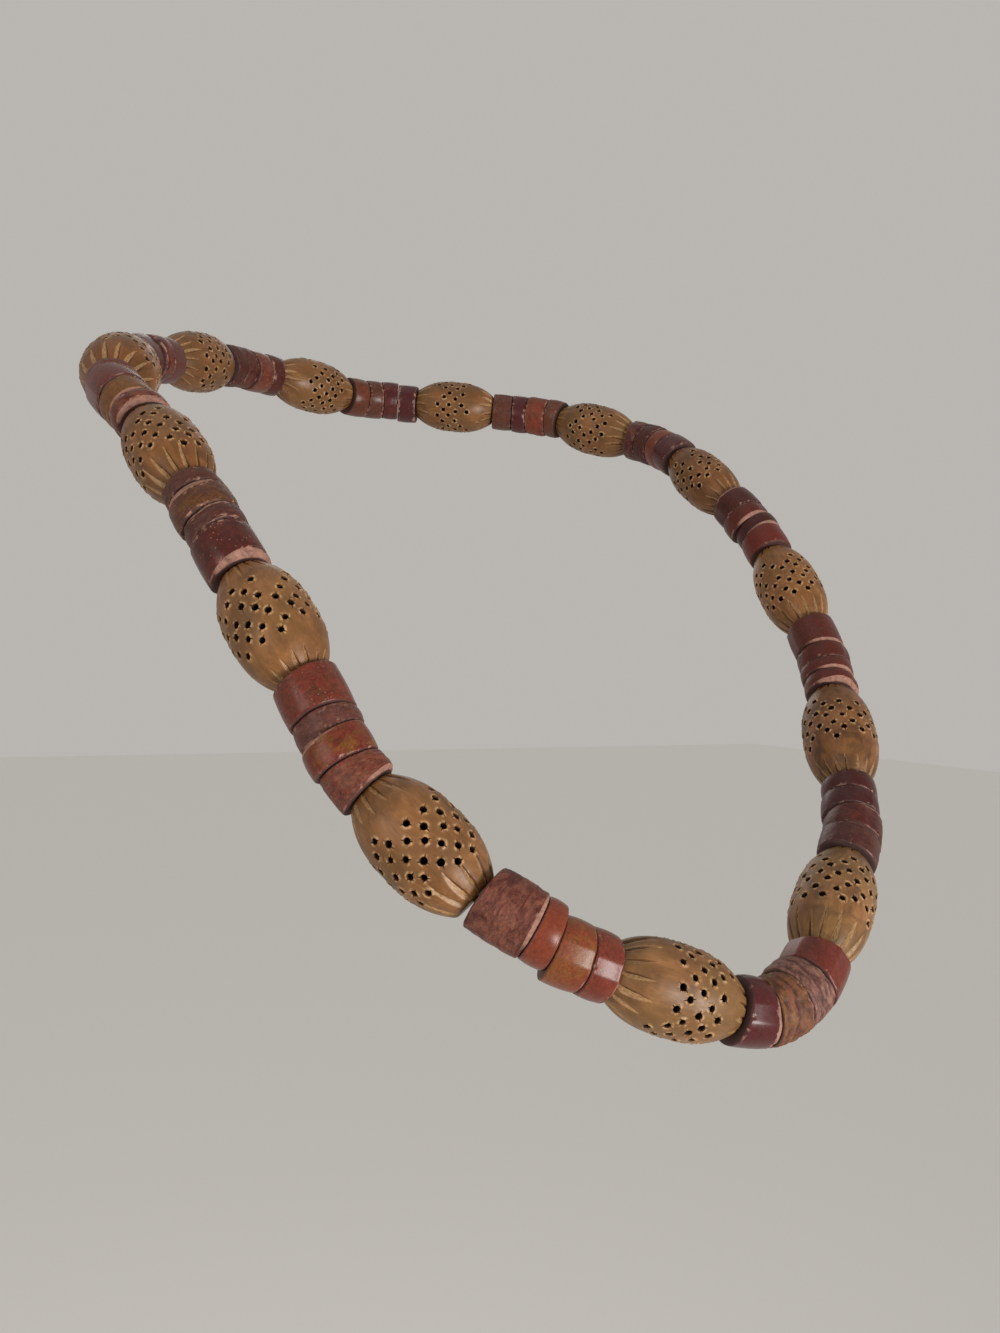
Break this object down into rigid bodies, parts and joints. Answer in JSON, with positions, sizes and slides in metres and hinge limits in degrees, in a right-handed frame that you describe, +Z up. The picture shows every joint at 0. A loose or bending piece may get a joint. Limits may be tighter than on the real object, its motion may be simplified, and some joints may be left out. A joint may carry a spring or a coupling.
{
  "type": "beaded necklace",
  "caption": "Long necklace of carved, drilled wooden barrel beads with stacks of polished red stone discs between them, strung on one closed thread, in its worn form.",
  "frame": {"origin": "the middle of the string at the nape, where the necklace rests on the back of the neck", "axes": "+Z up, -Y towards the front, +X towards the wearer's left"},
  "size_m": [0.1894, 0.2146, 0.1712],
  "materials": {
    "carved_wood": "carved and drilled tan wood, worn to a satin polish",
    "red_stone": null,
    "waxed_thread": "dark waxed thread"
  },
  "bodies": {
    "root": {"wood_bead_01": "carved_wood", "wood_bead_02": "carved_wood", "wood_bead_03": "carved_wood", "wood_bead_04": "carved_wood", "wood_bead_05": "carved_wood", "wood_bead_06": "carved_wood", "wood_bead_07": "carved_wood", "wood_bead_08": "carved_wood", "wood_bead_09": "carved_wood", "wood_bead_10": "carved_wood", "wood_bead_11": "carved_wood", "wood_bead_12": "carved_wood", "wood_bead_13": "carved_wood", "disc_stack_01": "red_stone", "disc_stack_02": "red_stone", "disc_stack_03": "red_stone", "disc_stack_04": "red_stone", "disc_stack_05": "red_stone", "disc_stack_06": "red_stone", "disc_stack_07": "red_stone", "disc_stack_08": "red_stone", "disc_stack_09": "red_stone", "disc_stack_10": "red_stone", "disc_stack_11": "red_stone", "disc_stack_12": "red_stone", "disc_stack_13": "red_stone", "thread": "waxed_thread"}
  },
  "joints": []
}
